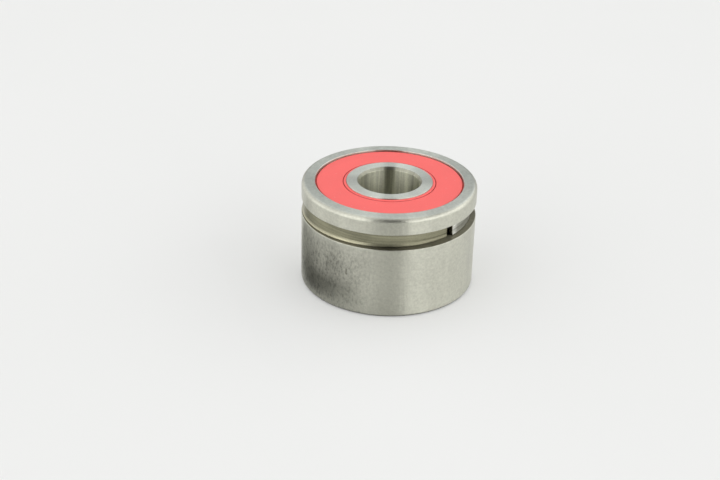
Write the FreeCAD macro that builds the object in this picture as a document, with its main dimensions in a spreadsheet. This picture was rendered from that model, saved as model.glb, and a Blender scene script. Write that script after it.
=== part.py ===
import FreeCAD, Part
import math
import os
import Sketcher

# A wide single-row deep-groove ball bearing, sealed on both faces, with a split creep ring in an
# eccentric groove of its outer ring. The origin is the centre of the lower face and +Z is the axis.
# The groove and its ring are nearer to the upper face.

# Driving sizes in millimetres and degrees.
SIZES = {
    # Main sizes of the bearing
    "bore_diameter": 8.0,
    "bearing_width": 14.0,
    "outer_corner": 0.4,
    "bore_chamfer": 0.25,
    "edge_break": 0.08,
    # Balls, and the ring walls behind the raceways; these make an outer diameter of 23
    "ball_count": 7,
    "ball_diameter": 4.366,
    "inner_race_wall": 1.552,
    "outer_race_wall": 1.552,
    "race_clearance": 0.015,
    "race_opening_share": 0.03,
    "shoulder_share": 0.172,
    # Pressed cage
    "sheet_thickness": 0.3,
    "cage_gap": 0.4,
    "pocket_clearance": 0.08,
    "cage_bend": 0.2,
    "rivet_diameter": 0.7,
    "rivet_clearance": 0.02,
    "rivet_head_lip": 0.2,
    "rivet_head_height": 0.25,
    "rivet_side_room": 0.07,
    # Seal seats in the outer ring
    "land_wall": 1.7,
    "seat_wall_depth": 0.6,
    "seat_undercut": 0.4,
    "seat_slope": 0.15,
    "seat_height": 0.65,
    # Seals
    "seal_recess": 0.2,
    "seal_rounding": 0.27,
    "seal_rubber_cover": 0.3,
    "seal_fit": 0.02,
    "seal_wall_gap": 0.08,
    "insert_thickness": 0.3,
    "insert_setback": 0.3,
    "insert_bend": 0.15,
    "lip_reach": 0.38,
    "lip_root": 0.44,
    "lip_rise": 0.1,
    "lip_land": 0.3,
    "lip_crease": 0.04,
    "lip_clearance": 0.03,
    # Seal steps of the inner ring
    "step_wall": 1.65,
    "step_room": 0.23,
    "step_slope": 0.12,
    # Creep ring and its eccentric groove near the upper face
    "band_height": 2.28,
    "groove_width": 2.07,
    "groove_depth": 1.2,
    "groove_offset": 0.53,
    "groove_direction": 152.0,
    "creep_ring_recess": 0.03,
    "creep_ring_clearance": 0.05,
    "creep_ring_side_gap": 0.03,
    "creep_ring_rounding": 0.1,
    "creep_ring_gap": 0.75,
    "creep_ring_turn": 14.0,
}

# Places and radii that follow from the driving sizes; depths run from a face of the bearing.
PLACES = {
    "bore_radius": "Sizes.bore_diameter / 2",
    "middle": "Sizes.bearing_width / 2",
    "ball_radius": "Sizes.ball_diameter / 2",
    # Cups of the cage, and the room that a rivet needs between two of them
    "pocket_radius": "ball_radius + Sizes.pocket_clearance",
    "cup_radius": "pocket_radius + Sizes.sheet_thickness",
    "bend_radius": "Sizes.cage_bend + Sizes.sheet_thickness",
    "bend_centre": "sqrt((pocket_radius + bend_radius) ^ 2 - bend_radius ^ 2)",
    "pocket_share": "pocket_radius / (pocket_radius + bend_radius)",
    "cup_share": "cup_radius / (cup_radius + Sizes.cage_bend)",
    "rivet_head_radius": "Sizes.rivet_diameter / 2 + Sizes.rivet_head_lip",
    "half_spacing": "bend_centre + rivet_head_radius + Sizes.rivet_side_room",
    # The pitch circle leaves the inner ring its wall and the cage its rivets
    "walled_pitch": "bore_radius + Sizes.inner_race_wall + Sizes.race_clearance + ball_radius",
    "riveted_pitch": "half_spacing / sin(180 deg / Sizes.ball_count)",
    "pitch_radius": "max(walled_pitch; riveted_pitch)",
    # Raceways
    "inner_race_bottom": "pitch_radius - ball_radius - Sizes.race_clearance",
    "outer_race_bottom": "pitch_radius + ball_radius + Sizes.race_clearance",
    "outer_radius": "outer_race_bottom + Sizes.outer_race_wall",
    "race_radius": "ball_radius * (1 + Sizes.race_opening_share)",
    "shoulder_height": "Sizes.ball_diameter * Sizes.shoulder_share",
    "inner_shoulder": "inner_race_bottom + shoulder_height",
    "outer_shoulder": "outer_race_bottom - shoulder_height",
    "race_half": "sqrt(race_radius ^ 2 - (race_radius - shoulder_height) ^ 2)",
    # Band of the cage, and the cuts that trim its cups to the band
    "cage_inner": "inner_shoulder + Sizes.cage_gap",
    "cage_outer": "outer_shoulder - Sizes.cage_gap",
    "trim_height": "cup_radius + Sizes.sheet_thickness",
    "trim_reach": "pitch_radius + cup_radius + Sizes.sheet_thickness",
    "trim_inner": "pitch_radius - cup_radius - Sizes.sheet_thickness",
    # Seal seats and seals
    "seat_wall_radius": "outer_radius - Sizes.land_wall",
    "seat_groove_radius": "seat_wall_radius + Sizes.seat_undercut",
    "seat_depth": "Sizes.seat_wall_depth + Sizes.seat_height",
    "bead_radius": "seat_groove_radius - Sizes.seal_fit",
    "bead_top": "Sizes.seat_wall_depth + Sizes.seal_fit",
    "bead_bottom": "seat_depth - Sizes.seal_fit",
    "bead_neck": "seat_wall_radius - Sizes.seal_wall_gap",
    "seal_face_radius": "bead_neck - Sizes.seal_rounding",
    "insert_top": "Sizes.seal_recess + Sizes.seal_rubber_cover",
    "insert_bottom": "insert_top + Sizes.insert_thickness",
    "insert_outer_radius": "seat_wall_radius - Sizes.insert_setback",
    "step_radius": "bore_radius + Sizes.step_wall",
    "lip_radius": "step_radius + Sizes.lip_clearance",
    "lip_edge_radius": "lip_radius + Sizes.lip_reach",
    "insert_inner_radius": "lip_edge_radius + Sizes.lip_root",
    "lip_depth": "Sizes.seal_recess - Sizes.lip_rise",
    "seal_inner_depth": "seat_depth - Sizes.step_room",
    # Creep ring and its groove
    "groove_top": "Sizes.bearing_width - Sizes.band_height",
    "groove_floor": "groove_top - Sizes.groove_width",
    "groove_radius": "outer_radius - Sizes.groove_depth",
    "groove_x": "Sizes.groove_offset * cos(Sizes.groove_direction * 1 deg)",
    "groove_y": "Sizes.groove_offset * sin(Sizes.groove_direction * 1 deg)",
    "creep_ring_inner": "groove_radius + Sizes.creep_ring_clearance",
    "creep_ring_outer": "outer_radius - Sizes.groove_offset - Sizes.creep_ring_recess",
    "creep_ring_width": "Sizes.groove_width - 2 * Sizes.creep_ring_side_gap",
}

doc = FreeCAD.newDocument("BallBearing")


# Sheets

def make_sizes():
    """Writes the driving sizes as plain numbers with an alias each."""
    sheet = doc.addObject("Spreadsheet::Sheet", "Sizes")
    for row, (alias, number) in enumerate(SIZES.items(), start=1):
        sheet.set(f"A{row}", alias)
        sheet.set(f"B{row}", str(number))
        sheet.setAlias(f"B{row}", alias)
    doc.recompute()
    return sheet


def make_places():
    """Writes the places as formulas of the driving sizes and of the places above them."""
    sheet = doc.addObject("Spreadsheet::Sheet", "Places")
    for row, (alias, formula) in enumerate(PLACES.items(), start=1):
        sheet.set(f"A{row}", alias)
        sheet.set(f"B{row}", f"={formula}")
        sheet.setAlias(f"B{row}", alias)
    doc.recompute()
    return sheet


sizes = make_sizes()
places = make_places()
ball_count = int(sizes.ball_count)


def measure(expression):
    """The present number of an expression on the sheets."""
    answer = sizes.evalExpression(expression)
    return float(getattr(answer, "Value", answer))


# Sketches and features

def new_body(label):
    """A body whose label is its node's name."""
    body = doc.addObject("PartDesign::Body", label)
    body.Label = label
    return body


def new_sketch(body, name, role):
    """A sketch on one of the body's own origin planes."""
    sketch = body.newObject("Sketcher::SketchObject", name)
    plane = next(item for item in body.Origin.OriginFeatures if item.Role == role)
    sketch.AttachmentSupport = [(plane, "")]
    sketch.MapMode = "FlatFace"
    return sketch


def bind(sketch, constraint, expression):
    """Adds a dimension and binds it to an expression."""
    index = sketch.addConstraint(constraint)
    sketch.setExpression(f"Constraints[{index}]", expression)


def pin_point(sketch, geometry, end, across, along):
    """Dimensions a point from the sketch's origin, with both numbers given as expressions."""
    origin = (-1, 1)
    bind(sketch, Sketcher.Constraint("DistanceX", *origin, geometry, end, measure(across)), across)
    bind(sketch, Sketcher.Constraint("DistanceY", *origin, geometry, end, measure(along)), along)


def draw_outline(sketch, points):
    """Draws a closed outline. A point is (across, along) for a straight edge to the next point, or
    (across, along, radius, bulge) for an arc to it that bulges to the left (1) or right (-1)."""
    spots = [FreeCAD.Vector(measure(point[0]), measure(point[1]), 0) for point in points]
    ends = []
    for number, point in enumerate(points):
        start = spots[number]
        stop = spots[(number + 1) % len(spots)]
        if len(point) == 2:
            index = sketch.addGeometry(Part.LineSegment(start, stop), False)
            ends.append((index, 1, 2))
            continue
        chord = stop - start
        radius = measure(point[2])
        rise = radius - math.sqrt(max(radius ** 2 - chord.Length ** 2 / 4, 0))
        left = FreeCAD.Vector(-chord.y, chord.x, 0).normalize()
        crown = (start + stop) * 0.5 + left * rise * point[3]
        if point[3] > 0:
            index = sketch.addGeometry(Part.Arc(stop, crown, start), False)
            ends.append((index, 2, 1))
        else:
            index = sketch.addGeometry(Part.Arc(start, crown, stop), False)
            ends.append((index, 1, 2))
        bind(sketch, Sketcher.Constraint("Radius", index, radius), point[2])
    for number, (index, start, stop) in enumerate(ends):
        following = ends[(number + 1) % len(ends)]
        sketch.addConstraint(Sketcher.Constraint("Coincident", index, stop, following[0], following[1]))
        pin_point(sketch, index, start, points[number][0], points[number][1])


def draw_circle(sketch, radius, across="0", along="0"):
    """Draws a circle with its radius and centre given as expressions."""
    centre = FreeCAD.Vector(measure(across), measure(along), 0)
    circle = Part.Circle(centre, FreeCAD.Vector(0, 0, 1), measure(radius))
    index = sketch.addGeometry(circle, False)
    bind(sketch, Sketcher.Constraint("Radius", index, measure(radius)), radius)
    pin_point(sketch, index, 3, across, along)


def draw_axis(sketch, across):
    """Draws an upright construction line as an axis to turn about."""
    foot = FreeCAD.Vector(measure(across), 0, 0)
    head = FreeCAD.Vector(measure(across), measure("Places.middle"), 0)
    index = sketch.addGeometry(Part.LineSegment(foot, head), True)
    pin_point(sketch, index, 1, across, "0")
    pin_point(sketch, index, 2, across, "Places.middle")


def turn(body, name, outlines, kind="Revolution", about=None):
    """Turns outlines about the body's own Z axis, or about an upright line, into a solid or a cut."""
    sketch = new_sketch(body, f"{name}_sketch", "XZ_Plane")
    for outline in outlines:
        draw_outline(sketch, outline)
    if about is not None:
        draw_axis(sketch, about)
    feature = body.newObject(f"PartDesign::{kind}", name)
    feature.Profile = sketch
    feature.ReferenceAxis = (sketch, ["V_Axis" if about is None else "Axis0"])
    feature.Angle = 360
    return feature


def repeat(body, name, feature, count):
    """Repeats a feature round the body's Z axis."""
    doc.recompute()
    pattern = body.newObject("PartDesign::PolarPattern", name)
    pattern.Originals = [feature]
    axis = next(item for item in body.Origin.OriginFeatures if item.Role == "Z_Axis")
    pattern.Axis = (axis, [""])
    pattern.Angle = 360
    pattern.setExpression("Occurrences", count)
    body.Tip = pattern
    return pattern


def checked_cut(body, before):
    """Stops the build if the last cut took nothing away."""
    doc.recompute()
    if not body.Shape.Volume < before - 1e-6:
        raise RuntimeError(f"{body.Label}: a cut took nothing away")


def place_round(part, radius, number, half_steps, height):
    """Binds a placement to a place on a circle round the axis, counted in half ball spacings."""
    angle = f"({2 * number + half_steps}) * 180 deg / Sizes.ball_count"
    part.setExpression("Placement.Base.x", f"{radius} * cos({angle})")
    part.setExpression("Placement.Base.y", f"{radius} * sin({angle})")
    part.setExpression("Placement.Base.z", height)


def level(upper, depth):
    """The height of a depth below the upper face, or above the lower one."""
    return f"Sizes.bearing_width - ({depth})" if upper else depth


def both_faces(points):
    """A half outline, given as depths from a face, followed by its mirror image on the other face.
    The mirrored arcs are walked backwards, so each belongs to the point before it."""
    lower = [(point[0], level(False, point[1]), *point[2:]) for point in points]
    upper = []
    for number in range(len(points) - 1, -1, -1):
        before = points[number - 1] if number > 0 else ()
        upper.append((points[number][0], level(True, points[number][1]), *before[2:]))
    return lower + upper


# Rings

def make_outer_ring():
    """The outer ring: raceway, two seal seats and the eccentric groove for the creep ring."""
    body = new_body("outer_ring")
    corner = "Sizes.outer_corner"
    half = [
        ("Places.outer_radius", corner, corner, 1),
        (f"Places.outer_radius - {corner}", "0"),
        ("Places.seat_wall_radius + Sizes.edge_break", "0"),
        ("Places.seat_wall_radius", "Sizes.edge_break"),
        ("Places.seat_wall_radius", "Sizes.seat_wall_depth"),
        ("Places.seat_groove_radius", "Sizes.seat_wall_depth + Sizes.seat_slope"),
        ("Places.seat_groove_radius", "Places.seat_depth"),
        ("Places.outer_shoulder + Sizes.edge_break", "Places.seat_depth"),
        ("Places.outer_shoulder", "Places.seat_depth + Sizes.edge_break"),
        ("Places.outer_shoulder", "Places.middle - Places.race_half", "Places.race_radius", -1),
    ]
    turn(body, "outer_ring_turned", [both_faces(half)])
    doc.recompute()
    before = body.Shape.Volume

    # The groove floor is a circle beside the axis, so the groove is deeper on one side
    sketch = new_sketch(body, "creep_groove_sketch", "XY_Plane")
    sketch.setExpression("AttachmentOffset.Base.z", "Places.groove_floor")
    draw_circle(sketch, "Places.outer_radius + Sizes.groove_offset")
    draw_circle(sketch, "Places.groove_radius", "Places.groove_x", "Places.groove_y")
    groove = body.newObject("PartDesign::Pocket", "creep_groove")
    groove.Profile = sketch
    groove.Reversed = True
    groove.setExpression("Length", "Sizes.groove_width")
    checked_cut(body, before)

    # Small breaks on the groove's two outer edges
    edges = []
    for number, edge in enumerate(body.Shape.Edges, start=1):
        if not isinstance(edge.Curve, Part.Circle):
            continue
        on_wall = abs(edge.Curve.Radius - measure("Places.outer_radius")) < 1e-4
        heights = (measure("Places.groove_floor"), measure("Places.groove_top"))
        at_groove = min(abs(edge.Curve.Center.z - height) for height in heights) < 1e-4
        if on_wall and at_groove:
            edges.append(f"Edge{number}")
    before = body.Shape.Volume
    breaks = body.newObject("PartDesign::Chamfer", "groove_breaks")
    breaks.Base = (groove, edges)
    breaks.setExpression("Size", "Sizes.edge_break")
    checked_cut(body, before)
    return body


def make_inner_ring():
    """The inner ring: bore, raceway and a step for each seal's lip."""
    body = new_body("inner_ring")
    half = [
        ("Places.bore_radius", "Sizes.bore_chamfer"),
        ("Places.bore_radius + Sizes.bore_chamfer", "0"),
        ("Places.step_radius - Sizes.edge_break", "0"),
        ("Places.step_radius", "Sizes.edge_break"),
        ("Places.step_radius", "Places.seat_depth"),
        ("Places.inner_shoulder", "Places.seat_depth + Sizes.step_slope"),
        ("Places.inner_shoulder", "Places.middle - Places.race_half", "Places.race_radius", 1),
    ]
    turn(body, "inner_ring_turned", [both_faces(half)])
    return body


def make_creep_ring():
    """The split ring of rolled wire, turned so that its gap is near the deepest place of the groove."""
    body = new_body("creep_ring")
    inner = "Places.creep_ring_inner"
    outer = "Places.creep_ring_outer"
    top = "Places.creep_ring_width"
    rounding = "Sizes.creep_ring_rounding"
    section = [
        (f"{inner} + {rounding}", "0"),
        (f"{outer} - {rounding}", "0", rounding, -1),
        (outer, rounding),
        (outer, f"{top} - {rounding}", rounding, -1),
        (f"{outer} - {rounding}", top),
        (f"{inner} + {rounding}", top, rounding, -1),
        (inner, f"{top} - {rounding}"),
        (inner, rounding, rounding, -1),
    ]
    turn(body, "creep_ring_turned", [section])
    doc.recompute()
    before = body.Shape.Volume
    sketch = new_sketch(body, "creep_gap_sketch", "XY_Plane")
    reach = f"{outer} + {rounding}"
    side = "Sizes.creep_ring_gap / 2"
    corners = [(f"{inner} / 2", f"-{side}"), (reach, f"-{side}"), (reach, side), (f"{inner} / 2", side)]
    draw_outline(sketch, corners)
    gap = body.newObject("PartDesign::Pocket", "creep_gap")
    gap.Profile = sketch
    gap.Reversed = True
    gap.setExpression("Length", top)
    checked_cut(body, before)
    body.setExpression("Placement.Base.x", "Places.groove_x")
    body.setExpression("Placement.Base.y", "Places.groove_y")
    body.setExpression("Placement.Base.z", "Places.groove_floor + Sizes.creep_ring_side_gap")
    body.setExpression("Placement.Rotation.Angle",
                       "(Sizes.groove_direction - Sizes.creep_ring_turn) * 1 deg - 180 deg")
    return body


# Cage

def make_cage_half(label, side):
    """One half of the ribbon cage: half cups over the balls joined by flat bridges with rivet holes.
    The sheet lies on the middle plane and rises with side 1 or falls with side -1."""
    body = new_body(label)
    pitch = "Places.pitch_radius"

    def at(height):
        return f"Places.middle + ({side}) * ({height})"

    sheet_edge = at("Sizes.sheet_thickness")
    band = [
        ("Places.cage_inner", at("0")),
        ("Places.cage_outer", at("0")),
        ("Places.cage_outer", sheet_edge),
        ("Places.cage_inner", sheet_edge),
    ]
    turn(body, f"{label}_bridges", [band])

    # A cup's outside is a half ball that runs into the bridge through the bend of the sheet
    cup = [
        (pitch, at("0")),
        (f"{pitch} + Places.bend_centre", at("0")),
        (f"{pitch} + Places.bend_centre", sheet_edge, "Sizes.cage_bend", side),
        (f"{pitch} + Places.bend_centre * Places.cup_share", at("Places.bend_radius * Places.cup_share"),
         "Places.cup_radius", -side),
        (pitch, at("Places.cup_radius")),
    ]
    cups = turn(body, f"{label}_cup", [cup], about=pitch)
    repeat(body, f"{label}_cups", cups, "Sizes.ball_count")

    doc.recompute()
    before = body.Shape.Volume
    beyond = [
        ("Places.cage_outer", at("0")),
        ("Places.trim_reach", at("0")),
        ("Places.trim_reach", at("Places.trim_height")),
        ("Places.cage_outer", at("Places.trim_height")),
    ]
    within = [
        ("Places.trim_inner", at("0")),
        ("Places.cage_inner", at("0")),
        ("Places.cage_inner", at("Places.trim_height")),
        ("Places.trim_inner", at("Places.trim_height")),
    ]
    turn(body, f"{label}_trim", [beyond, within], kind="Groove")
    checked_cut(body, before)

    before = body.Shape.Volume
    pocket = [
        (pitch, at("0")),
        (f"{pitch} + Places.bend_centre", at("0"), "Places.bend_radius", side),
        (f"{pitch} + Places.bend_centre * Places.pocket_share",
         at("Places.bend_radius * Places.pocket_share"), "Places.pocket_radius", -side),
        (pitch, at("Places.pocket_radius")),
    ]
    pockets = turn(body, f"{label}_pocket", [pocket], kind="Groove", about=pitch)
    repeat(body, f"{label}_pockets", pockets, "Sizes.ball_count")
    checked_cut(body, before)

    before = body.Shape.Volume
    hole_at = "180 deg / Sizes.ball_count"
    sketch = new_sketch(body, f"{label}_hole_sketch", "XY_Plane")
    sketch.setExpression("AttachmentOffset.Base.z", "Places.middle")
    draw_circle(sketch, "Sizes.rivet_diameter / 2 + Sizes.rivet_clearance",
                f"{pitch} * cos({hole_at})", f"{pitch} * sin({hole_at})")
    hole = body.newObject("PartDesign::Pocket", f"{label}_hole")
    hole.Profile = sketch
    hole.Reversed = side > 0
    hole.setExpression("Length", "Sizes.sheet_thickness")
    repeat(body, f"{label}_holes", hole, "Sizes.ball_count")
    checked_cut(body, before)
    return body


def make_rivet(number):
    """A rivet through both bridges between two cups, with a domed head on each side."""
    body = new_body(f"cage_rivet_{number + 1}")
    shank = "Sizes.rivet_diameter / 2"
    head = "Places.rivet_head_radius"
    sheet = "Sizes.sheet_thickness"
    tip = "Sizes.sheet_thickness + Sizes.rivet_head_height"
    dome = f"({head} ^ 2 + Sizes.rivet_head_height ^ 2) / (2 * Sizes.rivet_head_height)"
    outline = [
        ("0", f"-({tip})", dome, -1),
        (head, f"-{sheet}"),
        (shank, f"-{sheet}"),
        (shank, sheet),
        (head, sheet, dome, -1),
        ("0", tip),
    ]
    turn(body, f"rivet_{number + 1}_turned", [outline])
    place_round(body, "Places.pitch_radius", number, 1, "Places.middle")
    return body


def make_ball(number):
    """A ball on the pitch circle, half way up the bearing."""
    ball = doc.addObject("Part::Sphere", f"ball_{number + 1}")
    ball.Label = f"ball_{number + 1}"
    ball.setExpression("Radius", "Places.ball_radius")
    place_round(ball, "Places.pitch_radius", number, 0, "Places.middle")
    return ball


# Seals

def make_seal_rubber(label, upper):
    """The moulded rubber of a seal: a bead in the outer ring's seat and a lip at the inner ring's step."""
    body = new_body(label)
    bulge = 1 if upper else -1
    rounding = "Sizes.seal_rounding"
    bead = "Places.bead_radius"
    depths = [
        ("Places.lip_edge_radius + Sizes.lip_crease", "Sizes.seal_recess"),
        ("Places.seal_face_radius", "Sizes.seal_recess", rounding, bulge),
        ("Places.bead_neck", f"Sizes.seal_recess + {rounding}"),
        ("Places.bead_neck", "Places.bead_top"),
        (bead, "Places.bead_top + Sizes.seat_slope"),
        (bead, "Places.bead_bottom - Sizes.seat_slope"),
        (f"{bead} - Sizes.seat_slope", "Places.bead_bottom"),
        ("Places.insert_outer_radius", "Places.bead_bottom"),
        ("Places.insert_outer_radius", "Places.insert_top + Sizes.insert_bend", "Sizes.insert_bend", -bulge),
        ("Places.insert_outer_radius - Sizes.insert_bend", "Places.insert_top"),
        ("Places.insert_inner_radius", "Places.insert_top"),
        ("Places.insert_inner_radius", "Places.seal_inner_depth"),
        ("Places.lip_edge_radius", "Places.seal_inner_depth"),
        ("Places.lip_radius", "Places.lip_depth + Sizes.lip_land"),
        ("Places.lip_radius", "Places.lip_depth"),
        ("Places.lip_edge_radius - Sizes.lip_crease", "Sizes.seal_recess"),
        ("Places.lip_edge_radius", "Sizes.seal_recess + 2 * Sizes.lip_crease"),
    ]
    outline = [(point[0], level(upper, point[1]), *point[2:]) for point in depths]
    turn(body, f"{label}_moulded", [outline])
    return body


def make_seal_insert(label, upper):
    """The stamped steel stiffener inside a seal: a flat washer with its outer rim bent inwards."""
    body = new_body(label)
    bulge = 1 if upper else -1
    outer = "Places.insert_outer_radius"
    thickness = "Sizes.insert_thickness"
    depths = [
        ("Places.insert_inner_radius", "Places.insert_top"),
        (f"{outer} - Sizes.insert_bend", "Places.insert_top", "Sizes.insert_bend", bulge),
        (outer, "Places.insert_top + Sizes.insert_bend"),
        (outer, "Places.bead_bottom"),
        (f"{outer} - {thickness}", "Places.bead_bottom"),
        (f"{outer} - {thickness}", "Places.insert_bottom"),
        ("Places.insert_inner_radius", "Places.insert_bottom"),
    ]
    outline = [(point[0], level(upper, point[1]), *point[2:]) for point in depths]
    turn(body, f"{label}_stamped", [outline])
    return body


# Checks and files

def check_document(parts):
    """Stops the build if any object failed or any part has no sound solid."""
    doc.recompute()
    for item in doc.Objects:
        if "Invalid" in item.State or "Error" in item.State:
            raise RuntimeError(f"{item.Name}: {item.State}")
    for part in parts:
        shape = part.Shape
        if shape.isNull() or not shape.isValid() or len(shape.Solids) != 1:
            raise RuntimeError(f"{part.Label}: its shape is not one sound solid")


def write_parts(parts):
    """Writes each part's solid to its own file."""
    os.makedirs("parts", exist_ok=True)
    for part in parts:
        part.Shape.exportStep(f"parts/{part.Label}.step")
        print(f"{part.Label}: {part.Shape.Volume:.3f} mm3")


def main():
    """Makes every part of the bearing."""
    parts = [make_outer_ring(), make_inner_ring(), make_creep_ring()]
    parts.append(make_cage_half("cage_upper_half", 1))
    parts.append(make_cage_half("cage_lower_half", -1))
    for number in range(ball_count):
        parts.append(make_rivet(number))
        parts.append(make_ball(number))
    parts.append(make_seal_rubber("upper_seal_rubber", True))
    parts.append(make_seal_insert("upper_seal_insert", True))
    parts.append(make_seal_rubber("lower_seal_rubber", False))
    parts.append(make_seal_insert("lower_seal_insert", False))
    check_document(parts)
    write_parts(parts)


main()
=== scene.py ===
import math
from collections import namedtuple

import bpy
from mathutils import Matrix, Vector


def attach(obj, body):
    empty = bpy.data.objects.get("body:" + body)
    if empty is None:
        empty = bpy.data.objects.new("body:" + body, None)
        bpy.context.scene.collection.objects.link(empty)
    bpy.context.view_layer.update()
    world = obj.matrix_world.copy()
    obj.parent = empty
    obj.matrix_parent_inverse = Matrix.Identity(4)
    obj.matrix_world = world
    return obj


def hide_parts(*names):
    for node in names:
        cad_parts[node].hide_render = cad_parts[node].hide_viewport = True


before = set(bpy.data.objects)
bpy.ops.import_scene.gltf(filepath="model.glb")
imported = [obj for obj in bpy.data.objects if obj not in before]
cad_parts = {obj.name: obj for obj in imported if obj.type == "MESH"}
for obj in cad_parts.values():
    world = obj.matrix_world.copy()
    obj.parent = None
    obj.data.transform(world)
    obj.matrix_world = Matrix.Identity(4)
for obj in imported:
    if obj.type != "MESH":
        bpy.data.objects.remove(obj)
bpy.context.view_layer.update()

MM = 0.001
TAU = 2 * math.pi

# Sizes in millimetres. They are the part's own, apart from the finer forms that only this script
# has: the outer corner, the seal seat's wall, the bore's flare, the seal's outer slope and crease,
# and the creep ring's lower edge, ends and spring.
WIDTH = 14.0
OUTER = 11.5
OUTER_CORNER = 0.6
OUTER_FOOT = 0.4
EDGE = 0.08
FINE_EDGE = 0.05

# Raceways
PITCH = 7.75
BALL_RADIUS = 2.183
RACE_RADIUS = 2.2485
RACE_CLEARANCE = 0.015
SHOULDER_OUT = 9.197
SHOULDER_IN = 6.303

# Seal seats in the outer ring
SEAT_WALL = 9.74
SEAT_GROOVE = 10.2
SEAT_WALL_DEPTH = 0.6
SEAT_SLOPE = 0.15
SEAT_DEPTH = 1.25

# Bore and seal steps of the inner ring
BORE = 4.0
BORE_FLARE = 0.26
BORE_FLARE_DEPTH = 0.4
BORE_ROUNDING = 0.3
BORE_EDGE = 0.03
STEP = 5.65
STEP_SLOPE = 0.12

# Eccentric groove
GROOVE_TOP = 11.72
GROOVE_FLOOR = 9.65
GROOVE_RADIUS = 10.3
GROOVE_OFFSET = 0.53
GROOVE_DIRECTION = math.radians(152)
GROOVE_ROUNDING = 0.1
# A radius inside the groove's deepest spot
GROOVE_WITHIN = 9.4

# Creep ring, with radii from the groove's own axis
CREEP_IN = 10.35
CREEP_FACE = 10.88
CREEP_OUT = 10.96
CREEP_BOTTOM = 9.68
CREEP_TOP = 11.69
CREEP_ROUNDING = 0.1
CREEP_GAP = 0.75
CREEP_TURN = math.radians(14)
CREEP_FLARE_EDGE = 0.06
CREEP_FLARE_DRAW = 0.005
CREEP_FLARE_LAND = 0.11
CREEP_FLARE_ROUNDING = 0.3
CREEP_FLARE_HEIGHT = 0.40
CREEP_FLARE_HOLLOW = 1.0
CREEP_END_ROUNDING = 0.07
CREEP_END_STEPS = 4
CREEP_RUN_STEPS = 250
# How far one end stands out, and the turn over which this fades after a first share of it
CREEP_SPRING = 0.25
CREEP_SPRING_TURN = math.radians(110)
CREEP_SPRING_HOLD = 0.2

# Seals, whose depths count from the ring's face
SEAL_RECESS = 0.2
SEAL_INNER_DEPTH = 1.02
SEAL_FACE = 9.50
SEAL_NECK = 9.62
LIP = 5.68
LIP_EDGE = 6.06
LIP_DEPTH = 0.10
LIP_LAND = 0.30
CREASE_HALF = 0.09
CREASE_DEPTH = 0.16
CREASE_LIFT = 0.01
BEAD = 10.18
BEAD_TOP = 0.62
BEAD_BOTTOM = 1.23
BEAD_ROUNDING = 0.15
INSERT_IN = 6.5
INSERT_OUT = 9.5
INSERT_TOP = 0.5
INSERT_BEND = 0.15

# Corners that aren't rounded and turn less than this are smooth
SMOOTH_TURN = math.radians(25)


# Meshes turned from outlines

def outline(corners, steps=4):
    """Rows of (r, z, normal before, normal after) of a closed outline that is walked with the
    material on its left. A corner is (r, z, rounding)."""
    rows = []
    for number, (r, z, rounding) in enumerate(corners):
        here = Vector((r, z))
        before = (here - Vector(corners[number - 1][:2])).normalized()
        after = (Vector(corners[(number + 1) % len(corners)][:2]) - here).normalized()
        first = Vector((before.y, -before.x))
        last = Vector((after.y, -after.x))
        turn = math.atan2(before.x * after.y - before.y * after.x, before.dot(after))
        if rounding == 0:
            if abs(turn) < SMOOTH_TURN:
                first = last = (first + last).normalized()
            rows.append((r, z, first, last))
            continue
        side = 1 if turn > 0 else -1
        reach = rounding * math.tan(abs(turn) / 2)
        centre = here - before * reach - first * rounding * side
        start = math.atan2(first.y, first.x)
        for step in range(steps + 1):
            angle = start + turn * step / steps
            normal = Vector((math.cos(angle), math.sin(angle)))
            point = centre + normal * rounding * side
            rows.append((point.x, point.y, normal, normal))
    return rows


def add_object(name, data):
    """A new object in the scene."""
    made = bpy.data.objects.new(name, data)
    bpy.context.scene.collection.objects.link(made)
    return made


def mesh_object(name, points, faces, normals):
    """A smooth mesh in metres from points in millimetres and one normal for each face corner."""
    mesh = bpy.data.meshes.new(name)
    mesh.from_pydata([(x * MM, y * MM, z * MM) for x, y, z in points], [], faces)
    mesh.shade_smooth()
    mesh.normals_split_custom_set(normals)
    mesh.validate(clean_customdata=False)
    return add_object(name, mesh)


def skin(befores, afters, closed):
    """Faces between neighbouring sections of a ring, and a normal for each of their corners. A
    section's rows have one normal towards the row before and one towards the row after."""
    faces, normals = [], []
    sections, count = len(befores), len(befores[0])
    for this in range(sections if closed else sections - 1):
        other = (this + 1) % sections
        for row in range(count):
            following = (row + 1) % count
            faces.append((this * count + row, other * count + row,
                          other * count + following, this * count + following))
            normals.extend((afters[this][row], afters[other][row],
                            befores[other][following], befores[this][following]))
    return faces, normals


def turned(name, rows_at, segments=256):
    """A ring about the Z axis whose outline may change with the angle."""
    points, befores, afters = [], [], []
    for number in range(segments):
        angle = TAU * number / segments
        cosine, sine = math.cos(angle), math.sin(angle)
        rows = rows_at(angle)
        points.extend((r * cosine, r * sine, z) for r, z, _, _ in rows)
        befores.append([(n.x * cosine, n.x * sine, n.y) for _, _, n, _ in rows])
        afters.append([(n.x * cosine, n.x * sine, n.y) for _, _, _, n in rows])
    return mesh_object(name, points, *skin(befores, afters, closed=True))


def race(across, bulge, steps=16):
    """Points of a raceway between its two shoulders, from the upper one down. Its arc's centre is
    at the radius across, and bulge is 1 for the outer ring and -1 for the inner one."""
    shoulder = SHOULDER_OUT if bulge > 0 else SHOULDER_IN
    half = math.sqrt(RACE_RADIUS ** 2 - (shoulder - across) ** 2)
    start = math.asin(half / RACE_RADIUS)
    spots = []
    for step in range(steps + 1):
        angle = start * (1 - 2 * step / steps)
        spots.append((across + bulge * RACE_RADIUS * math.cos(angle),
                      WIDTH / 2 + RACE_RADIUS * math.sin(angle), 0))
    return spots


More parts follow.
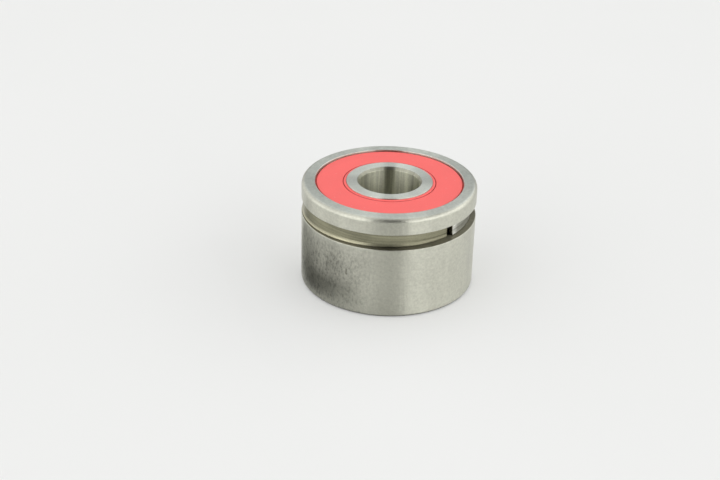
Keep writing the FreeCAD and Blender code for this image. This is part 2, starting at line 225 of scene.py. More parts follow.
def groove_reach(angle):
    """The groove floor's distance from the bearing's axis."""
    away = angle - GROOVE_DIRECTION
    across = GROOVE_OFFSET * math.sin(away)
    return GROOVE_OFFSET * math.cos(away) + math.sqrt(GROOVE_RADIUS ** 2 - across ** 2)


def outer_ring_rows(angle):
    """The outer ring's section at an angle about the axis."""
    floor = groove_reach(angle)
    return outline([
        (SEAT_WALL, 0, EDGE),
        (OUTER, 0, OUTER_FOOT),
        (OUTER, GROOVE_FLOOR, EDGE),
        (floor, GROOVE_FLOOR, GROOVE_ROUNDING),
        (floor, GROOVE_TOP, GROOVE_ROUNDING),
        (OUTER, GROOVE_TOP, EDGE),
        (OUTER, WIDTH, OUTER_CORNER),
        (SEAT_WALL, WIDTH, EDGE),
        (SEAT_WALL, WIDTH - SEAT_WALL_DEPTH, FINE_EDGE),
        (SEAT_GROOVE, WIDTH - SEAT_WALL_DEPTH - SEAT_SLOPE, FINE_EDGE),
        (SEAT_GROOVE, WIDTH - SEAT_DEPTH, FINE_EDGE),
        (SHOULDER_OUT, WIDTH - SEAT_DEPTH, EDGE),
        *race(PITCH + BALL_RADIUS + RACE_CLEARANCE - RACE_RADIUS, 1),
        (SHOULDER_OUT, SEAT_DEPTH, EDGE),
        (SEAT_GROOVE, SEAT_DEPTH, FINE_EDGE),
        (SEAT_GROOVE, SEAT_WALL_DEPTH + SEAT_SLOPE, FINE_EDGE),
        (SEAT_WALL, SEAT_WALL_DEPTH, FINE_EDGE),
    ])


def inner_ring_rows(_):
    """The inner ring's section, the same at every angle."""
    raceway = race(PITCH - BALL_RADIUS - RACE_CLEARANCE + RACE_RADIUS, -1)
    return outline([
        (BORE + BORE_FLARE, 0, BORE_EDGE),
        (STEP, 0, EDGE),
        (STEP, SEAT_DEPTH, 0),
        (SHOULDER_IN, SEAT_DEPTH + STEP_SLOPE, FINE_EDGE),
        *[(r, WIDTH - z, rounding) for r, z, rounding in raceway],
        (SHOULDER_IN, WIDTH - SEAT_DEPTH - STEP_SLOPE, FINE_EDGE),
        (STEP, WIDTH - SEAT_DEPTH, 0),
        (STEP, WIDTH, EDGE),
        (BORE + BORE_FLARE, WIDTH, BORE_EDGE),
        (BORE, WIDTH - BORE_FLARE_DEPTH, BORE_ROUNDING),
        (BORE, BORE_FLARE_DEPTH, BORE_ROUNDING),
    ])


# Corners of a seal's rubber as (r, depth, rounding), walked round the upper seal
SEAL_CORNERS = (
    (LIP, LIP_DEPTH, FINE_EDGE),
    (LIP, LIP_DEPTH + LIP_LAND, FINE_EDGE),
    (LIP_EDGE, SEAL_INNER_DEPTH, FINE_EDGE),
    (INSERT_IN, SEAL_INNER_DEPTH, 0),
    (INSERT_IN, INSERT_TOP, 0),
    (INSERT_OUT - INSERT_BEND, INSERT_TOP, 0),
    (INSERT_OUT, INSERT_TOP + INSERT_BEND, 0),
    (INSERT_OUT, BEAD_BOTTOM, 0),
    (BEAD, BEAD_BOTTOM, BEAD_ROUNDING),
    (BEAD, BEAD_TOP, BEAD_ROUNDING),
    (SEAL_NECK, BEAD_TOP, 0.04),
    (SEAL_FACE, SEAL_RECESS, 0.06),
    (LIP_EDGE + CREASE_HALF, SEAL_RECESS, 0.03),
    (LIP_EDGE, SEAL_RECESS + CREASE_DEPTH, 0.02),
    (LIP_EDGE - CREASE_HALF, SEAL_RECESS - CREASE_LIFT, 0.03),
)


def upper_seal_rows(_):
    """The upper seal's section, the same at every angle."""
    return outline([(r, WIDTH - depth, rounding) for r, depth, rounding in SEAL_CORNERS])


def lower_seal_rows(_):
    """The lower seal's section, the same at every angle."""
    return outline(SEAL_CORNERS[::-1])


# The creep ring's section as (r, z, rounding)
CREEP_CORNERS = (
    (CREEP_IN, CREEP_BOTTOM, CREEP_ROUNDING),
    (CREEP_OUT, CREEP_BOTTOM, CREEP_FLARE_EDGE),
    (CREEP_OUT - CREEP_FLARE_DRAW, CREEP_BOTTOM + CREEP_FLARE_LAND, CREEP_FLARE_ROUNDING),
    (CREEP_FACE, CREEP_BOTTOM + CREEP_FLARE_HEIGHT, CREEP_FLARE_HOLLOW),
    (CREEP_FACE, CREEP_TOP, CREEP_ROUNDING),
    (CREEP_IN, CREEP_TOP, CREEP_ROUNDING),
)


def creep_stations(first, last, rounding):
    """Where the creep ring's sections are between two angles: each one's angle, how far its
    surface leans towards an end, and -1 at the first end, otherwise 1."""
    stations = []
    for step in range(CREEP_END_STEPS):
        lean = math.pi / 2 * (1 - step / CREEP_END_STEPS)
        stations.append((first + rounding * (1 - math.sin(lean)), lean, -1))
    for step in range(CREEP_RUN_STEPS + 1):
        share = step / CREEP_RUN_STEPS
        stations.append((first + rounding + (last - first - 2 * rounding) * share, 0, 1))
    for step in range(1, CREEP_END_STEPS + 1):
        lean = math.pi / 2 * step / CREEP_END_STEPS
        stations.append((last - rounding * (1 - math.sin(lean)), lean, 1))
    return stations


def creep_ring():
    """The split ring, whose lower edge flares a little and whose ends are rounded. One end stands
    a little out of the groove."""
    rows = outline(CREEP_CORNERS, 6)
    mean = (CREEP_IN + CREEP_OUT) / 2
    half_gap = CREEP_GAP / 2 / mean
    middle = GROOVE_DIRECTION - math.pi - CREEP_TURN
    first, last = middle + half_gap, middle + TAU - half_gap
    centre = Vector((GROOVE_OFFSET * math.cos(GROOVE_DIRECTION),
                     GROOVE_OFFSET * math.sin(GROOVE_DIRECTION), 0))
    points, sections = [], []
    for angle, lean, end in creep_stations(first, last, CREEP_END_ROUNDING / mean):
        outward = Vector((math.cos(angle), math.sin(angle), 0))
        along = Vector((-math.sin(angle), math.cos(angle), 0)) * end
        gone = min(max((angle - first) / CREEP_SPRING_TURN - CREEP_SPRING_HOLD, 0), 1)
        spring = CREEP_SPRING * (1 + math.cos(math.pi * gone)) / 2
        inset = CREEP_END_ROUNDING * (1 - math.cos(lean))
        section = []
        for r, z, normal, _ in rows:
            reach = r + spring - normal.x * inset
            points.append(centre + outward * reach + Vector((0, 0, z - normal.y * inset)))
            flat = outward * normal.x + Vector((0, 0, normal.y))
            section.append(flat * math.cos(lean) + along * math.sin(lean))
        sections.append(section)
    faces, normals = skin(sections, sections, closed=False)
    count = len(rows)
    faces.append(tuple(range(count)))
    normals.extend([sections[0][0]] * count)
    faces.append(tuple(reversed(range(len(points) - count, len(points)))))
    normals.extend([sections[-1][0]] * count)
    return mesh_object("creep_ring_wire", points, faces, normals)


# Materials

def rgb(red, green, blue):
    return (red, green, blue, 1.0)


WALL_STEEL = rgb(0.545, 0.545, 0.467)
FACE_STEEL = rgb(0.599, 0.631, 0.577)
BORE_STEEL = rgb(0.610, 0.610, 0.495)
INNER_FACE_STEEL = rgb(0.668, 0.702, 0.646)
WIRE_STEEL = rgb(0.305, 0.295, 0.205)
# Dark steel of the outer ring's scratch, also painted shade on the bore's chamfers
SCRATCH_AND_SHADE_STEEL = rgb(0.200, 0.195, 0.155)
# The groove's own darker steel, with painted shade in the hollow
GROOVE_STEEL_AND_SHADE = rgb(0.215, 0.205, 0.148)
# A painted highlight along the creep ring's lower edge
EDGE_HIGHLIGHT_STEEL = rgb(0.650, 0.615, 0.450)
CLEAN_STEEL = rgb(0.405, 0.405, 0.350)
# A painted highlight on the creep ring's tip
TIP_HIGHLIGHT_STEEL = rgb(0.720, 0.720, 0.665)
SEAL_DARK = rgb(0.93, 0.134, 0.124)
SEAL_LIGHT = rgb(0.985, 0.152, 0.142)
SEAL_DUST = rgb(0.9, 0.6, 0.55)
# Painted shade in the seal's crease
CREASE_SHADE_RED = rgb(0.420, 0.040, 0.040)

# Steel's patterns: how light and dark they make it, and how much they change its roughness
STEEL_DARKEST = 0.76
STEEL_LIGHTEST = 1.24
ROUGHNESS_SPREAD = 0.07

# Marks of use, darker patches and painted shade, shadow and highlights. Sides are azimuths
# from the X axis seen from above. A share is how much a mark takes of its spot's colour at most,
# and a shade is what a colour is multiplied with.
GROOVE_DULLING = 0.11
FOOT_PAINTED_SHADOW = 0.3
DARK_PATCH_SIDE = math.radians(-146)
DARK_SPECKS_SHARE = 0.36
LOW_DARKENING_SHARE = 0.15
SCRATCH_SIDE = math.radians(-117.7)
SCRATCH_BOTTOM = 5.5
SCRATCH_TOP = 6.2
SCRATCH_HALF = 0.005
SCRATCH_SHARE = 0.8
CHAMFER_SHADE_SHARE = 0.6
BORE_POLISH = 0.02
LOWER_DARKENING = 0.92
EDGE_HIGHLIGHT_SIDE = math.radians(-165)
EDGE_HIGHLIGHT_SHARE = 0.65
CLEAN_END = math.radians(-40)
DUST_SHARE = 0.35
CREASE_SHADE_SHARE = 0.75

# A spot on a turned piece, as its material's nodes know it: the lathe coordinates, the radius and
# height in millimetres, and the soft patches
Spot = namedtuple("Spot", "around radius height patches")


class Tree:
    """Adds nodes to a material or a world, and links whatever sockets it is given."""

    def __init__(self, owner):
        owner.use_nodes = True
        self.tree = owner.node_tree
        self.tree.nodes.clear()

    def add(self, kind, inputs=None, out=0, **settings):
        """A new node with its settings and inputs, given as one of its outputs."""
        made = self.tree.nodes.new(kind)
        for key, value in settings.items():
            setattr(made, key, value)
        for key, value in (inputs or {}).items():
            if isinstance(value, bpy.types.NodeSocket):
                self.tree.links.new(value, made.inputs[key])
            else:
                made.inputs[key].default_value = value
        return made.outputs[out] if made.outputs else made

    def maths(self, operation, first, second=0.0):
        return self.add("ShaderNodeMath", {0: first, 1: second}, operation=operation)

    def times(self, first, second):
        return self.maths("MULTIPLY", first, second)

    def total(self, *parts):
        """The sum of values times their weights."""
        value, weight = parts[0]
        first = self.times(value, weight)
        if len(parts) == 1:
            return first
        return self.maths("ADD", first, self.total(*parts[1:]))

    def vectors(self, operation, first, second):
        return self.add("ShaderNodeVectorMath", {0: first, 1: second}, operation=operation)

    def scaled(self, vector, share):
        """A colour or a vector times a number."""
        return self.add("ShaderNodeVectorMath", {0: vector, "Scale": share}, operation="SCALE")

    def parts(self, vector):
        """A vector's x, y and z."""
        split = self.tree.nodes.new("ShaderNodeSeparateXYZ")
        self.tree.links.new(vector, split.inputs[0])
        return split.outputs

    def towards(self, vector, x, y):
        """How far a vector reaches in a level direction."""
        return self.add("ShaderNodeVectorMath", {0: vector, 1: (x, y, 0)}, out=1,
                        operation="DOT_PRODUCT")

    def facing(self, around, azimuth):
        """The cosine of the angle from an azimuth."""
        return self.towards(around, math.cos(azimuth), math.sin(azimuth))

    def past(self, around, azimuth):
        """The sine of the angle from an azimuth."""
        return self.towards(around, -math.sin(azimuth), math.cos(azimuth))

    def noise(self, vector, scale=1.0, detail=2.0, roughness=0.5):
        return self.add("ShaderNodeTexNoise", {
            "Vector": vector, "Scale": scale, "Detail": detail, "Roughness": roughness})

    def spread(self, value, low, high, new_low=0.0, new_high=1.0):
        """A value mapped from one range to another, and held within it."""
        return self.add("ShaderNodeMapRange", {
            "Value": value, "From Min": low, "From Max": high,
            "To Min": new_low, "To Max": new_high})

    def between(self, value, low, high, soft):
        """One between two values and zero outside them."""
        return self.times(self.spread(value, low - soft, low),
                          self.spread(value, high + soft, high))

    def blend(self, share, first, second):
        """A colour that goes from the first to the second."""
        made = self.tree.nodes.new("ShaderNodeMix")
        made.data_type = "RGBA"
        for number, value in ((0, share), (6, first), (7, second)):
            if isinstance(value, bpy.types.NodeSocket):
                self.tree.links.new(value, made.inputs[number])
            else:
                made.inputs[number].default_value = value
        return made.outputs[2]

    def place_mm(self):
        """The place on the piece in millimetres."""
        return self.scaled(self.add("ShaderNodeTexCoord", out=3), 1 / MM)

    def seen_rays(self):
        """One for rays from the camera, off metal and through glass, otherwise zero."""
        path = self.tree.nodes.new("ShaderNodeLightPath").outputs
        mirrored = self.maths("MAXIMUM", path["Is Glossy Ray"], path["Is Transmission Ray"])
        return self.maths("MAXIMUM", path["Is Camera Ray"], mirrored)

    def bump(self, height, depth_mm, under=None):
        inputs = {"Height": height, "Strength": 1.0, "Distance": depth_mm * MM}
        if under is not None:
            inputs["Normal"] = under
        return self.add("ShaderNodeBump", inputs)


def lathe_lines(tree, inwards):
    """Coordinates in millimetres that run round the axis slowly and across the turned lines
    quickly, the place, the radius and the height. On a ring's outside, faces and walls count from
    the rim; inwards is -1 for a bore."""
    place = tree.add("ShaderNodeTexCoord", out=3)
    x, y, z = tree.parts(place)
    radius = tree.maths("SQRT", tree.total((x, x), (y, y)))
    across = tree.maths("ABSOLUTE", tree.maths("SUBTRACT", z, WIDTH / 2 * MM))
    path = tree.maths("SUBTRACT", across, tree.times(radius, inwards))
    around = tree.add("ShaderNodeCombineXYZ", {
        0: tree.maths("DIVIDE", x, radius), 1: tree.maths("DIVIDE", y, radius),
        2: tree.times(path, 1 / MM)})
    return around, tree.scaled(place, 1 / MM), tree.times(radius, 1 / MM), tree.times(z, 1 / MM)


def stretched(tree, around, sides, along):
    """Lathe coordinates for a noise that is this fine round the axis and across the lines."""
    return tree.vectors("MULTIPLY", around, (sides, sides, along))


def steel(name, wall, face, roughness, marks, speckle_depth, speckle_size=0.2, lines=0.5,
          line_depth=0.0015, line_count=9.0, line_run=5.0, column_depth=0.0, inwards=1,
          anisotropy=0.93):
    """Ground or turned steel: fine lines round the axis, a fine speckle, soft patches and soft
    columns up the walls. The walls and the flat faces have their own tints, and marks adds what
    only this piece has. Depths and sizes are in millimetres."""
    material = bpy.data.materials.new(name)
    tree = Tree(material)
    around, in_mm, radius, height = lathe_lines(tree, inwards)
    fine = tree.noise(stretched(tree, around, line_run, line_count), detail=3.0, roughness=0.6)
    bands = tree.noise(stretched(tree, around, 7.0, 0.06))
    speckle = tree.noise(in_mm, 1 / speckle_size, roughness=0.6)
    patches = tree.noise(in_mm, 0.28, detail=3.0, roughness=0.55)

    # The colour's shade follows all four patterns, and the roughness two of them
    weights = (0.35 * lines, 0.45, 0.25, 0.2)
    tone = tree.total(*zip((fine, speckle, patches, bands), weights))
    middle = sum(weights) / 2
    shade = tree.spread(tone, middle - 0.25, middle + 0.25, STEEL_DARKEST, STEEL_LIGHTEST)
    flat = tree.spread(tree.maths("ABSOLUTE", tree.maths("SUBTRACT", height, WIDTH / 2)),
                       WIDTH / 2 - 0.12, WIDTH / 2 - 0.02)
    rough = tree.spread(tree.total((patches, 0.6), (speckle, 0.4)),
                        0.25, 0.75, roughness - ROUGHNESS_SPREAD, roughness + ROUGHNESS_SPREAD)
    colour, rough = marks(tree, Spot(around, radius, height, patches),
                          tree.blend(flat, wall, face), rough)

    normal = tree.bump(fine, line_depth)
    normal = tree.bump(speckle, speckle_depth, normal)
    if column_depth > 0:
        columns = tree.noise(stretched(tree, around, 24.0, 0.45), roughness=0.6)
        on_walls = tree.maths("SUBTRACT", 1.0, flat)
        normal = tree.bump(tree.times(columns, on_walls), column_depth, normal)
    tangent = tree.add("ShaderNodeTangent", direction_type="RADIAL", axis="Z")
    shader = tree.add("ShaderNodeBsdfPrincipled", {
        "Base Color": tree.scaled(colour, shade), "Metallic": 1.0, "Roughness": rough,
        "Normal": normal, "Anisotropic": anisotropy, "Anisotropic Rotation": 0.25,
        "Tangent": tangent})
    tree.add("ShaderNodeOutputMaterial", {"Surface": shader})
    return material


def ring_marks_and_shade(tree, spot, colour, rough):
    """The outer ring's darker groove, partly its own steel and partly painted shade, painted
    shadow on its lower corner, darker specks and a darker patch on one side, and a scratch.
    """
    # The groove, darker: partly its own as-turned steel, partly painted shade in the hollow
    inside = tree.times(tree.between(spot.radius, GROOVE_WITHIN, OUTER - 0.12, 0.08),
                        tree.between(spot.height, GROOVE_FLOOR - 0.01, GROOVE_TOP + 0.01, 0.05))
    inside = tree.times(inside, tree.spread(spot.patches, 0.2, 0.45, 0.75, 1.0))
    colour = tree.blend(inside, colour, GROOVE_STEEL_AND_SHADE)
    rough = tree.maths("ADD", rough, tree.times(inside, GROOVE_DULLING))

    # Painted contact shadow on the lower corner
    foot = tree.times(tree.spread(spot.height, 0.34, 0.16),
                      tree.spread(spot.radius, OUTER - 0.5, OUTER - 0.3))
    colour = tree.scaled(colour, tree.spread(foot, 0.0, 1.0, 1.0, FOOT_PAINTED_SHADOW))

    # Darker specks below the groove and an even darker patch lower down, on one side
    toward = tree.facing(spot.around, DARK_PATCH_SIDE)
    upwards = tree.add("ShaderNodeCombineXYZ", {2: tree.times(spot.height, 1.7)})
    specks = tree.noise(
        tree.vectors("ADD", stretched(tree, spot.around, 36.0, 0.0), upwards),
        detail=3.0, roughness=0.65)
    dark_specks = tree.times(tree.spread(toward, 0.60, 0.95), tree.spread(specks, 0.48, 0.66))
    dark_specks = tree.times(dark_specks, tree.spread(spot.height, GROOVE_FLOOR, GROOVE_FLOOR - 1.5))
    low_darkening = tree.times(tree.spread(toward, 0.40, 0.90), tree.spread(spot.height, 5.0, 1.5))
    dark = tree.total((dark_specks, DARK_SPECKS_SHARE), (low_darkening, LOW_DARKENING_SHARE))
    colour = tree.scaled(colour, tree.maths("SUBTRACT", 1.0, dark))

    # The scratch
    scratch = tree.times(
        tree.between(tree.past(spot.around, SCRATCH_SIDE), -SCRATCH_HALF, SCRATCH_HALF, 0.004),
        tree.between(spot.height, SCRATCH_BOTTOM, SCRATCH_TOP, 0.15))
    near = tree.spread(tree.facing(spot.around, SCRATCH_SIDE), 0.8, 0.9, 0.0, SCRATCH_SHARE)
    return tree.blend(tree.times(scratch, near), colour, SCRATCH_AND_SHADE_STEEL), rough


def honed_bore(tree, spot, colour, rough):
    """The bore, smoother than the faces, with streaks along it and painted shade on its chamfers.
    """
    inside = tree.spread(spot.radius, BORE + BORE_FLARE + 0.02, BORE + BORE_FLARE - 0.01)
    streaks = tree.noise(stretched(tree, spot.around, 9.0, 0.08), detail=3.0, roughness=0.65)
    shade = tree.spread(streaks, 0.32, 0.68, 0.75, 1.25)
    colour = tree.scaled(colour, tree.spread(inside, 0.0, 1.0, 1.0, shade))
    # Painted shade on the bore's chamfers
    chamfer = tree.between(spot.radius, BORE + 0.03, BORE + BORE_FLARE - 0.02, 0.02)
    colour = tree.blend(tree.times(chamfer, CHAMFER_SHADE_SHARE), colour, SCRATCH_AND_SHADE_STEEL)
    return colour, tree.maths("SUBTRACT", rough, tree.times(inside, BORE_POLISH))


def wire_marks_and_highlights(tree, spot, colour, rough):
    """The creep ring's lower part, darker away from one side, with a painted highlight along its
    edge towards that side. One end is clean, with a painted highlight on its tip."""
    # The lower part, darker away from one side, and a painted highlight along its edge towards
    # that side
    toward_highlight = tree.facing(spot.around, EDGE_HIGHLIGHT_SIDE)
    low = tree.times(tree.spread(toward_highlight, 0.6, 0.2),
                     tree.spread(spot.height, CREEP_BOTTOM + 0.6, CREEP_BOTTOM + 0.3))
    colour = tree.scaled(colour, tree.spread(low, 0.0, 1.0, 1.0, LOWER_DARKENING))
    near_edge = tree.spread(spot.height, CREEP_BOTTOM + 0.75, CREEP_BOTTOM + 0.12)
    edge = tree.times(tree.spread(toward_highlight, 0.3, 0.85, 0.0, EDGE_HIGHLIGHT_SHARE),
                      tree.maths("POWER", near_edge, 2.0))
    colour = tree.blend(edge, colour, EDGE_HIGHLIGHT_STEEL)

    # The clean end, and a painted highlight on its tip
    past = tree.past(spot.around, CLEAN_END)
    end = tree.times(tree.spread(tree.facing(spot.around, CLEAN_END), 0.3, 0.6),
                     tree.spread(past, -0.01, 0.0))
    clean = tree.times(end, tree.spread(past, 0.6, 0.5))
    colour = tree.blend(clean, colour, CLEAN_STEEL)
    tip = tree.times(end, tree.spread(past, 0.10, 0.03))
    return tree.blend(tip, colour, TIP_HIGHLIGHT_STEEL), rough


def plain_steel(name, dark, light, roughness, spread, grain_mm, depth_mm):
    """Steel of the small pieces inside: no lines, a grain and soft patches."""
    material = bpy.data.materials.new(name)
    tree = Tree(material)
    in_mm = tree.place_mm()
    grain = tree.noise(in_mm, 1 / grain_mm, detail=3.0, roughness=0.6)
    patches = tree.noise(in_mm, 0.9, detail=3.0, roughness=0.6)
    tone = tree.total((grain, 0.5), (patches, 0.5))
    shader = tree.add("ShaderNodeBsdfPrincipled", {
        "Base Color": tree.blend(tree.spread(tone, 0.3, 0.7), dark, light), "Metallic": 1.0,
        "Roughness": tree.spread(tone, 0.3, 0.7, roughness - spread, roughness + spread),
        "Normal": tree.bump(grain, depth_mm)})
    tree.add("ShaderNodeOutputMaterial", {"Surface": shader})
    return material


def rubber(name, dark, light):
    """Moulded rubber, matt with a fine grain, a little pale dust and painted shade in its crease.
    """
    material = bpy.data.materials.new(name)
    tree = Tree(material)
    in_mm = tree.place_mm()
    grain = tree.noise(in_mm, 5.0, detail=3.0, roughness=0.65)
    patches = tree.noise(in_mm, 0.35, detail=3.0, roughness=0.6)
    dust = tree.spread(tree.noise(in_mm, 3.2, detail=1.0), 0.72, 0.80)
    tone = tree.total((grain, 0.4), (patches, 0.6))
    colour = tree.blend(tree.spread(tone, 0.3, 0.7), dark, light)
    colour = tree.blend(tree.times(dust, DUST_SHARE), colour, SEAL_DUST)
    _, _, radius, _ = lathe_lines(tree, 1)
    # Painted shade in the crease
    crease = tree.between(radius, LIP_EDGE - 0.05, LIP_EDGE + 0.05, 0.04)
    colour = tree.blend(tree.times(crease, CREASE_SHADE_SHARE), colour, CREASE_SHADE_RED)
    shader = tree.add("ShaderNodeBsdfPrincipled", {
        "Base Color": colour, "Roughness": tree.spread(tone, 0.3, 0.7, 0.48, 0.62),
        "Specular IOR Level": 0.5, "Normal": tree.bump(grain, 0.012)})
    tree.add("ShaderNodeOutputMaterial", {"Surface": shader})
    return material


ring_steel = steel("ring_steel", WALL_STEEL, FACE_STEEL, 0.36, ring_marks_and_shade, speckle_depth=0.018,
                   speckle_size=0.33, column_depth=0.022)
inner_steel = steel("inner_ring_steel", BORE_STEEL, INNER_FACE_STEEL, 0.38, honed_bore,
                    speckle_depth=0.0006, inwards=-1, anisotropy=0.99)
spring_steel = steel("spring_steel", WIRE_STEEL, WIRE_STEEL, 0.38, wire_marks_and_highlights,
                     speckle_depth=0.001, lines=3.5, line_depth=0.010, line_count=4.5,
                     line_run=1.3, anisotropy=0.6)
ball_steel = plain_steel("ball_steel", rgb(0.72, 0.72, 0.72), rgb(0.78, 0.78, 0.78),
                         0.07, 0.03, grain_mm=0.3, depth_mm=0.0002)
cage_steel = plain_steel("cage_steel", rgb(0.48, 0.47, 0.43), rgb(0.60, 0.59, 0.55),
                         0.36, 0.08, grain_mm=0.12, depth_mm=0.003)
rivet_steel = plain_steel("rivet_steel", rgb(0.52, 0.51, 0.47), rgb(0.64, 0.63, 0.59),
                          0.32, 0.08, grain_mm=0.08, depth_mm=0.003)
insert_steel = plain_steel("insert_steel", rgb(0.44, 0.44, 0.42), rgb(0.55, 0.55, 0.52),
                           0.38, 0.08, grain_mm=0.15, depth_mm=0.003)
seal_red = rubber("seal_rubber", SEAL_DARK, SEAL_LIGHT)


# Pieces

def stand_for(piece, node, body, material):
    """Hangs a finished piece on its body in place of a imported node."""
    piece.data.materials.append(material)
    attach(piece, body)
    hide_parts(node)


stand_for(turned("outer_ring_ground", outer_ring_rows), "outer_ring", "outer",
          ring_steel)
stand_for(turned("inner_ring_ground", inner_ring_rows), "inner_ring", "inner",
          inner_steel)
stand_for(creep_ring(), "creep_ring", "creep", spring_steel)
stand_for(turned("upper_seal_moulded", upper_seal_rows), "upper_seal_rubber", "outer",
          seal_red)
stand_for(turned("lower_seal_moulded", lower_seal_rows), "lower_seal_rubber", "outer",
          seal_red)

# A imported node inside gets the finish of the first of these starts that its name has
finishes = {"ball": ball_steel, "cage_rivet": rivet_steel, "cage_": cage_steel,
            "upper_seal_insert": insert_steel, "lower_seal_insert": insert_steel}
for name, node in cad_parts.items():
    for start, finish in finishes.items():
        if name.startswith(start):
            node.data.materials.clear()
            node.data.materials.append(finish)
            break


# Stage

FLOOR_HALF = 3.0
FLOOR_DARK = rgb(0.84, 0.845, 0.83)
FLOOR_LIGHT = rgb(0.88, 0.88, 0.87)
FLOOR_TONE = rgb(0.835, 0.84, 0.83)
# How much of the floor that is seen, also in metal, is its own even tone
FLOOR_GLOW = 0.35

# The flag's two ends in millimetres: left foot, right foot and top
FLAG_NEAR = ((-14.0, -24.2, 0), (-5.6, -21.4, 0.05), (-10.7, -23.1, 5.0))
FLAG_FAR = ((-25.7, 8.5, 0), (-17.3, 11.3, 0.05), (-22.4, 9.6, 5.0))
FLAG_GREY = rgb(0.13, 0.13, 0.12)

# The tent's brightness. Azimuths are in degrees from the camera's side to the right. Each level
# row holds front, front right, right, back right, back, back left, left and front left, from low
# to high. A step is the range of a direction's z over which the next row, the top or the zenith
# takes over.
TENT_AZIMUTHS = (0, 18, 27, 50, 75, 100, 130, 150, 165, 195, 210, 230, 260, 285, 310, 333, 342,
                 360)
TENT_SIDES = (0, 0, 1, 1, 2, 2, 3, 3, 4, 4, 5, 5, 6, 6, 7, 7, 0, 0)
TENT_LEVELS = (
    (0.10, 2.66, 1.58, 0.62, 0.25, 1.18, 2.34, 3.38),
    (0.00, 2.33, 2.30, 1.67, 0.56, 1.08, 1.30, 1.78),
    (0.00, 0.33, 0.56, 0.68, 1.21, 0.74, 1.14, 0.98),
)
TENT_TOP = 1.20
TENT_ZENITH = 0.25
TENT_STEPS = ((0.20, 0.30), (0.55, 0.70), (0.88, 0.93), (0.972, 0.985))
BACKDROP = rgb(0.84, 0.84, 0.835)

LAMP_PLACE = Vector((0.0, 0.02, 0.60))
LAMP_AIM = Vector((0, 0, 0.01))
LAMP_SIDE = 0.25
LAMP_WATTS = 0.04

# The photograph's view, fitted to its ellipses, with distances in millimetres
VIEW_PITCH = 0.482369
VIEW_ROLL = 0.0244477
VIEW_DISTANCE = 180.63
VIEW_RIGHT = 3.5626
VIEW_UP = -4.5489
FOCAL_PIXELS = 1332.5
PHOTO_PIXELS = 720
SENSOR = 36.0


def make_floor():
    """A large pale floor. Its own tone is left out under the bearing, for the shadow's sake."""
    mesh = bpy.data.meshes.new("floor")
    half = FLOOR_HALF
    mesh.from_pydata([(-half, -half, 0), (half, -half, 0), (half, half, 0), (-half, half, 0)],
                     [], [(0, 1, 2, 3)])
    floor = add_object("floor", mesh)
    material = bpy.data.materials.new("floor")
    tree = Tree(material)
    place = tree.add("ShaderNodeTexCoord", out=3)
    shader = tree.add("ShaderNodeBsdfPrincipled", {
        "Base Color": tree.blend(tree.noise(place, 14.0), FLOOR_DARK, FLOOR_LIGHT),
        "Roughness": 0.7, "Specular IOR Level": 0.2})
    glow = tree.add("ShaderNodeEmission", {"Color": FLOOR_TONE, "Strength": 1.0})
    away = tree.add("ShaderNodeVectorMath", {0: place}, out=1, operation="LENGTH")
    open_floor = tree.spread(away, (OUTER - 1.5) * MM, (OUTER + 0.5) * MM, 0.0, FLOOR_GLOW)
    mixed = tree.add("ShaderNodeMixShader", {
        0: tree.times(tree.seen_rays(), open_floor), 1: shader, 2: glow})
    tree.add("ShaderNodeOutputMaterial", {"Surface": mixed})
    mesh.materials.append(material)


def make_flag():
    """A low dark flag on the left that only the metal sees."""
    mesh = bpy.data.meshes.new("flag")
    mesh.from_pydata([Vector(point) * MM for point in FLAG_NEAR + FLAG_FAR], [],
                     [(0, 1, 2), (5, 4, 3), (1, 4, 5, 2), (0, 2, 5, 3)])
    flag = add_object("flag", mesh)
    material = bpy.data.materials.new("flag")
    tree = Tree(material)
    shader = tree.add("ShaderNodeBsdfPrincipled", {"Base Color": FLAG_GREY, "Roughness": 0.6})
    tree.add("ShaderNodeOutputMaterial", {"Surface": shader})
    mesh.materials.append(material)
    for kind in ("camera", "diffuse", "shadow", "transmission", "volume_scatter"):
        setattr(flag, f"visible_{kind}", False)


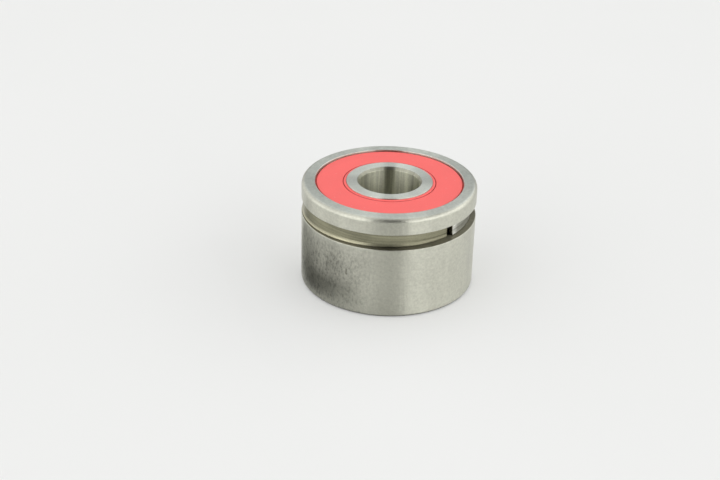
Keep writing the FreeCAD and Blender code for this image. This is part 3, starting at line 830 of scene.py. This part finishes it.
def make_world():
    """A pale tent that is dark where the camera stands, with a plain backdrop for the camera."""
    world = bpy.data.worlds.new("tent")
    bpy.context.scene.world = world
    tree = Tree(world)
    x, y, z = tree.parts(tree.add("ShaderNodeTexCoord", out=0))
    turn = tree.maths("ARCTAN2", x, tree.times(y, -1.0))
    turn = tree.maths("FRACT", tree.maths("ADD", tree.times(turn, 1 / TAU), 1.0))
    bands = []
    for levels in TENT_LEVELS:
        ramp = tree.tree.nodes.new("ShaderNodeValToRGB")
        tree.tree.links.new(turn, ramp.inputs[0])
        stops = ramp.color_ramp.elements
        for azimuth, side in zip(TENT_AZIMUTHS, TENT_SIDES):
            if azimuth == 0:
                stop = stops[0]
            elif azimuth == 360:
                stop = stops[-1]
            else:
                stop = stops.new(azimuth / 360)
            stop.color = rgb(*[levels[side]] * 3)
        bands.append(ramp.outputs[0])
    bands.extend((rgb(*[TENT_TOP] * 3), rgb(*[TENT_ZENITH] * 3)))
    colour = bands[0]
    for (low, high), band in zip(TENT_STEPS, bands[1:]):
        colour = tree.blend(tree.spread(z, low, high), colour, band)
    tent = tree.add("ShaderNodeBackground", {"Color": colour, "Strength": 1.0})
    plain = tree.add("ShaderNodeBackground", {"Color": BACKDROP, "Strength": 1.0})
    from_camera = tree.add("ShaderNodeLightPath", out=0)
    mixed = tree.add("ShaderNodeMixShader", {0: from_camera, 1: tent, 2: plain})
    tree.add("ShaderNodeOutputWorld", {"Surface": mixed})


def make_lamp():
    """A weak soft box overhead that the camera doesn't see."""
    light = bpy.data.lights.new("lamp_top", "AREA")
    light.shape = "RECTANGLE"
    light.size = light.size_y = LAMP_SIDE
    light.energy = LAMP_WATTS
    lamp = add_object("lamp_top", light)
    lamp.location = LAMP_PLACE
    lamp.rotation_mode = "QUATERNION"
    lamp.rotation_quaternion = (LAMP_AIM - LAMP_PLACE).to_track_quat("-Z", "Y")
    lamp.visible_camera = False


def make_camera():
    """The photograph's view: pitch, roll, distance and offset."""
    forward = Vector((0, math.cos(VIEW_PITCH), -math.sin(VIEW_PITCH)))
    level = Vector((1, 0, 0))
    upright = level.cross(forward)
    right = math.cos(VIEW_ROLL) * level + math.sin(VIEW_ROLL) * upright
    up = -math.sin(VIEW_ROLL) * level + math.cos(VIEW_ROLL) * upright
    place = -(VIEW_RIGHT * right + VIEW_UP * up + VIEW_DISTANCE * forward) * MM
    data = bpy.data.cameras.new("camera")
    data.sensor_fit = "HORIZONTAL"
    data.sensor_width = SENSOR
    data.lens = FOCAL_PIXELS * SENSOR / PHOTO_PIXELS
    data.clip_start = 0.005
    data.clip_end = 20.0
    camera = add_object("camera", data)
    axes = Matrix((right, up, -forward)).transposed().to_4x4()
    camera.matrix_world = Matrix.Translation(place) @ axes
    bpy.context.scene.camera = camera


make_camera()
make_floor()
make_flag()
make_world()
make_lamp()

bpy.context.scene.view_settings.view_transform = "Standard"
